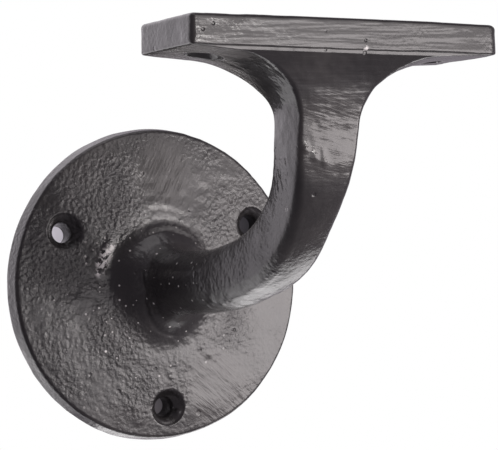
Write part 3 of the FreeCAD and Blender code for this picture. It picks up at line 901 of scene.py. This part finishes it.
def black_paint():
    """Gloss black paint over the sand-cast skin."""
    finish = bpy.context.scene.bracket_finish
    material, nodes, shader = new_material("black_gloss_paint")
    place = nodes.add("ShaderNodeTexCoord").outputs["Object"]

    def group(tree, **values):
        return nodes.add("ShaderNodeGroup", {"Vector": place, **values}, node_tree=tree).outputs[0]

    def near(spot, inner, outer):
        """1 within inner millimetres of a spot, 0 beyond outer."""
        away = nodes.add("ShaderNodeVectorMath", {0: place, 1: [v * MM for v in spot]},
                         operation="DISTANCE").outputs["Value"]
        return nodes.maths("SUBTRACT", 1.0, nodes.band(away, inner * MM, outer * MM))

    def patches(scale, detail, roughness, low, high):
        return nodes.band(nodes.noise(place, scale, detail, roughness), low, high)

    rough_skin = nodes.maths("MULTIPLY_ADD", patches(*SKIN_PATCHES), SKIN_SPAN, SKIN_LEAST)
    for *field, strength in PEBBLE_FIELDS:
        rough_skin = nodes.maths("MULTIPLY_ADD", near(*field), strength, rough_skin)
    marked = {name: near(*field) for name, (field, *_) in BRUSHED.items()}
    brushed = nodes.maths("MAXIMUM", marked["face"], nodes.maths("MAXIMUM", marked["low"], marked["arm"]))
    smooth = nodes.maths("MULTIPLY_ADD", nodes.maths("MAXIMUM", brushed, marked["saddle"]), -BRUSH_CALM, 1.0)
    rough_skin = nodes.maths("MULTIPLY", rough_skin, smooth)

    pebbles, streaks, spots = pebble_group(), streak_group(), spot_group()
    height = group(pebbles, Scale=PEBBLE_SCALE, Amount=rough_skin)
    for name, (_, turn, scale, depth) in BRUSHED.items():
        marks = group(streaks, Turn=(0.0, math.radians(turn), 0.0), Scale=scale, Amount=marked[name])
        height = nodes.maths("MULTIPLY_ADD", marks, depth, height)
    height = nodes.maths("MULTIPLY_ADD", group(spots, **PITS), -PIT_DEPTH, height)
    bump = nodes.add("ShaderNodeBump", {"Strength": 1.0, "Distance": BUMP_DEPTH, "Height": height})
    for socket in ("Normal", "Coat Normal"):
        nodes.feed(shader.inputs[socket], bump.outputs["Normal"])

    thin = nodes.maths("MAXIMUM", patches(*THIN_PATCHES), brushed)
    tint = nodes.blend(thin, (*finish.paint, 1.0), (*finish.paint_thin, 1.0))
    # pale specks and spots: dust and wear, and painted highlights where they stand for glints
    dust_and_glints = nodes.maths("MULTIPLY", group(spots, **DUST_AND_GLINT_SPECKS), near(*DUST_AND_GLINT_FIELD))
    # painted highlight: the glint patch left of the root, with the other pale spots, broken into blotches
    worn_and_glint = patches(*WORN_AND_GLINT_PATCHES)
    for spot in WORN_AND_GLINT_SPOTS:
        dust_and_glints = nodes.maths("MAXIMUM", dust_and_glints, nodes.maths("MULTIPLY", worn_and_glint, near(*spot)))
    nodes.feed(shader.inputs["Base Color"], nodes.blend(dust_and_glints, tint, (*finish.dust_and_glints, 1.0)))
    uneven = nodes.noise(place, 120.0, 3.0, 0.6)
    rough = nodes.maths("MULTIPLY_ADD", uneven, ROUGHNESS_SPAN, ROUGHNESS)
    rough = nodes.maths("MULTIPLY_ADD", brushed, BRUSHED_ROUGHNESS, rough)
    nodes.feed(shader.inputs["Roughness"], rough)
    for socket, value in (("Specular IOR Level", 0.25), ("Coat Weight", 1.0), ("Coat Roughness", 0.14)):
        shader.inputs[socket].default_value = value
    return material


# ---- operators ----
SHARP_ANGLE = 50  # degrees; steeper edges than this stay crisp


class BRACKET_OT_casting(bpy.types.Operator):
    """Build the painted casting with its screw holes, in place of the plain solid"""
    bl_idname = "bracket.casting"
    bl_label = "Painted casting"

    def execute(self, context):
        grid = casting_grid()
        normal = grid_normals(grid)
        grid = grid + normal * skin_height(grid, normal)[..., None]
        low, high = (np.array(corner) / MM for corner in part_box(NODE))
        grid = np.clip(grid, low, high)
        casting = added(closed_mesh("painted_casting", grid, np.zeros(3), grid[-1].mean(0)))
        cut_holes(casting)
        casting.data.polygons.foreach_set("use_smooth", np.ones(len(casting.data.polygons), bool))
        casting.data.set_sharp_from_angle(angle=math.radians(SHARP_ANGLE))
        casting.data.materials.clear()
        casting.data.materials.append(black_paint())
        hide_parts(NODE)
        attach(casting, "root")
        return {"FINISHED"}


def view_matrix(place, heading, pitch, roll):
    """Camera at a place, looking at a heading from +Y, tilted up by the pitch and turned by the roll."""
    turn = (Matrix.Rotation(-heading, 4, "Z") @ Matrix.Rotation(math.pi / 2 + pitch, 4, "X")
            @ Matrix.Rotation(roll, 4, "Z"))
    return Matrix.Translation(place) @ turn


# name, degrees from -Y towards +X, degrees above the horizon, distance, width, height, radiance, tint
LAMPS = [
    ("key", 44, -5, 1.1, 0.88, 0.52, 3.6, (1.0, 0.94, 0.94)),
    ("key_edge", 43, -5, 1.12, 1.16, 0.94, 1.5, (1.0, 0.94, 0.94)),
    ("bulb", 19, 5, 1.1, 0.05, 0.14, 46.0, (1.0, 0.96, 0.93)),
    ("fill_high", 34, 27, 1.1, 0.80, 0.46, 1.3, (1.0, 0.94, 0.94)),
    ("fill_front", 6, -10, 1.1, 0.46, 0.50, 1.4, (1.0, 0.95, 0.96)),
    ("top", -10, 78, 1.2, 0.80, 0.80, 1.0, (1.0, 0.96, 0.98)),
    ("card_right", 142, -47, 0.5, 0.44, 0.36, 1.8, (1.0, 0.98, 0.98)),
    ("card_back", -150, -38, 0.5, 0.36, 0.34, 1.1, (1.0, 0.98, 0.99)),
]
LAMPS_MIDDLE = Vector((0.0, -0.045, 0.005))


def add_lamp(name, heading, rise, distance, width, height, radiance, tint):
    """A rectangle of even radiance, facing the middle of the bracket."""
    lamp = bpy.data.lights.new(name, "AREA")
    lamp.shape, lamp.size, lamp.size_y = "RECTANGLE", width, height
    lamp.energy, lamp.color = radiance * math.pi * width * height, tint
    holder = added(lamp)
    turn, lift = math.radians(heading), math.radians(rise)
    way = Vector((math.sin(turn) * math.cos(lift), -math.cos(turn) * math.cos(lift), math.sin(lift)))
    holder.location = LAMPS_MIDDLE + distance * way
    holder.rotation_mode = "QUATERNION"
    holder.rotation_quaternion = (-way).to_track_quat("-Z", "Y")
    holder.visible_camera = False
    return holder


FLOOR_TONE = (0.26, 0.25, 0.27, 1.0)  # the floor as the paint reflects it
FLOOR_HALF, FLOOR_Z = 1.1, -0.48  # metres


def stage_floor(backdrop):
    """A pale floor, well below the bracket."""
    mesh = bpy.data.meshes.new("floor")
    corners = [(-1, -1), (1, -1), (1, 1), (-1, 1)]
    mesh.from_pydata([(FLOOR_HALF * x, FLOOR_HALF * y, FLOOR_Z) for x, y in corners], [], [range(4)])
    material, nodes, shader = new_material("pale_floor")
    seen = nodes.add("ShaderNodeLightPath").outputs["Is Camera Ray"]
    nodes.feed(shader.inputs["Base Color"], nodes.blend(seen, FLOOR_TONE, (*backdrop, 1.0)))
    shader.inputs["Roughness"].default_value = 0.9
    mesh.materials.append(material)
    return added(mesh)


# painted shade: how dark the glowing disc behind each wall hole is, standing in for the shade on the
# backdrop seen through it
HOLE_SHADE_TONES = [(0.055, 0.050, 0.055), (0.030, 0.028, 0.032), (0.420, 0.400, 0.440)]
CARD_RADIUS, CARD_GAP = 3.3, 0.4  # millimetres; the gap is from the plate's back
CARD_COUNT = 24  # points round a card


def hole_shade_cards():
    """Small glowing discs close behind the wall holes, whose tones are painted shade on the backdrop seen
    through them; clear when seen from the back.
    """
    turns = np.arange(CARD_COUNT) * 2 * math.pi / CARD_COUNT
    for (x, z), tone in zip(wall_hole_places(), HOLE_SHADE_TONES):
        ring = [((x + CARD_RADIUS * math.cos(t)) * MM, CARD_GAP * MM, (z + CARD_RADIUS * math.sin(t)) * MM)
                for t in turns]
        mesh = bpy.data.meshes.new("hole_card")
        mesh.from_pydata(ring, [], [range(CARD_COUNT)])
        material, nodes, shader = new_material("shaded_backdrop")
        # painted shade: each disc glows at its own tone, with no lamp behind it
        for socket in ("Base Color", "Emission Color"):
            shader.inputs[socket].default_value = (*tone, 1.0)
        shader.inputs["Emission Strength"].default_value = 1.0
        shader.inputs["Specular IOR Level"].default_value = 0.0
        facing = nodes.add("ShaderNodeNewGeometry").outputs["Backfacing"]
        nodes.feed(shader.inputs["Alpha"], nodes.maths("SUBTRACT", 1.0, facing))
        mesh.materials.append(material)
        yield added(mesh)


ROOM_TONE = (0.165, 0.145, 0.168, 1.0)  # the dim room in front, as the paint reflects it
BEHIND_TONE = (1.0, 0.94, 1.0, 1.0)  # the backdrop behind, as the paint reflects it
BEHIND_BAND = (-0.1, 0.75)  # it sets in over this range of Y
RIGHT_BAND, RIGHT_DIM = (0.05, 0.5), 0.88  # over this range of X it is dimmed this much


def studio_world(backdrop):
    """White to the camera; to the paint a dim room in front and the white backdrop behind."""
    world = bpy.data.worlds.new("studio")
    bpy.context.scene.world = world
    world.use_nodes = True
    nodes = Nodes(world.node_tree)
    way = nodes.add("ShaderNodeSeparateXYZ", {
        "Vector": nodes.add("ShaderNodeTexCoord").outputs["Generated"]}).outputs
    dim = nodes.maths("MULTIPLY_ADD", nodes.band(way["X"], *RIGHT_BAND), -RIGHT_DIM, 1.0)
    behind = nodes.maths("MULTIPLY", nodes.band(way["Y"], *BEHIND_BAND), dim)
    room = nodes.blend(behind, ROOM_TONE, BEHIND_TONE)
    seen = nodes.blend(nodes.add("ShaderNodeLightPath").outputs["Is Camera Ray"], room, (*backdrop, 1.0))
    nodes.feed(world.node_tree.nodes["Background"].inputs["Color"], seen)


class BRACKET_OT_studio(bpy.types.Operator):
    """Build the pale studio: floor, backdrop, lamps and camera"""
    bl_idname = "bracket.studio"
    bl_label = "Studio"

    def execute(self, context):
        studio = context.scene.bracket_studio
        backdrop = tuple(studio.backdrop)
        lamps = [add_lamp(*row) for row in LAMPS]
        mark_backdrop(stage_floor(backdrop), *hole_shade_cards(), *lamps)
        studio_world(backdrop)
        lens = bpy.data.cameras.new("camera")
        lens.lens, lens.sensor_width, lens.sensor_fit = studio.lens, 36.0, "HORIZONTAL"
        lens.clip_start, lens.clip_end = 0.01, 20.0
        camera = added(lens)
        camera.matrix_world = view_matrix(
            Vector(studio.camera_place), studio.camera_heading, studio.camera_pitch, studio.camera_roll)
        context.scene.camera = camera
        context.scene.view_settings.view_transform = "Standard"
        return {"FINISHED"}


class BRACKET_PT_panel(bpy.types.Panel):
    """Lists the bracket's operators and settings"""
    bl_idname = "BRACKET_PT_panel"
    bl_label = "Handrail bracket"
    bl_space_type = "VIEW_3D"
    bl_region_type = "UI"
    bl_category = "Bracket"

    def draw(self, context):
        for operator in OPERATORS:
            self.layout.operator(operator.bl_idname)
        for group in SETTINGS:
            column = self.layout.column(align=True)
            for key in group.__annotations__:
                column.prop(getattr(context.scene, SETTINGS[group]), key)


SETTINGS = {BracketSizes: "bracket_sizes", BracketFinish: "bracket_finish", BracketStudio: "bracket_studio"}
OPERATORS = (BRACKET_OT_casting, BRACKET_OT_studio)
CLASSES = (*SETTINGS, *OPERATORS, BRACKET_PT_panel)


def register():
    for one in CLASSES:
        bpy.utils.register_class(one)
    for group, name in SETTINGS.items():
        setattr(bpy.types.Scene, name, bpy.props.PointerProperty(type=group))


def unregister():
    for name in SETTINGS.values():
        delattr(bpy.types.Scene, name)
    for one in reversed(CLASSES):
        bpy.utils.unregister_class(one)


def main():
    register()
    bpy.ops.bracket.casting()
    bpy.ops.bracket.studio()
    bpy.context.view_layer.update()
    boxes = {"cad": CAD_BOX, "visual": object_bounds()}
    {name: [list(corner) for corner in box] for name, box in boxes.items()}


if __name__ == "__main__":
    main()
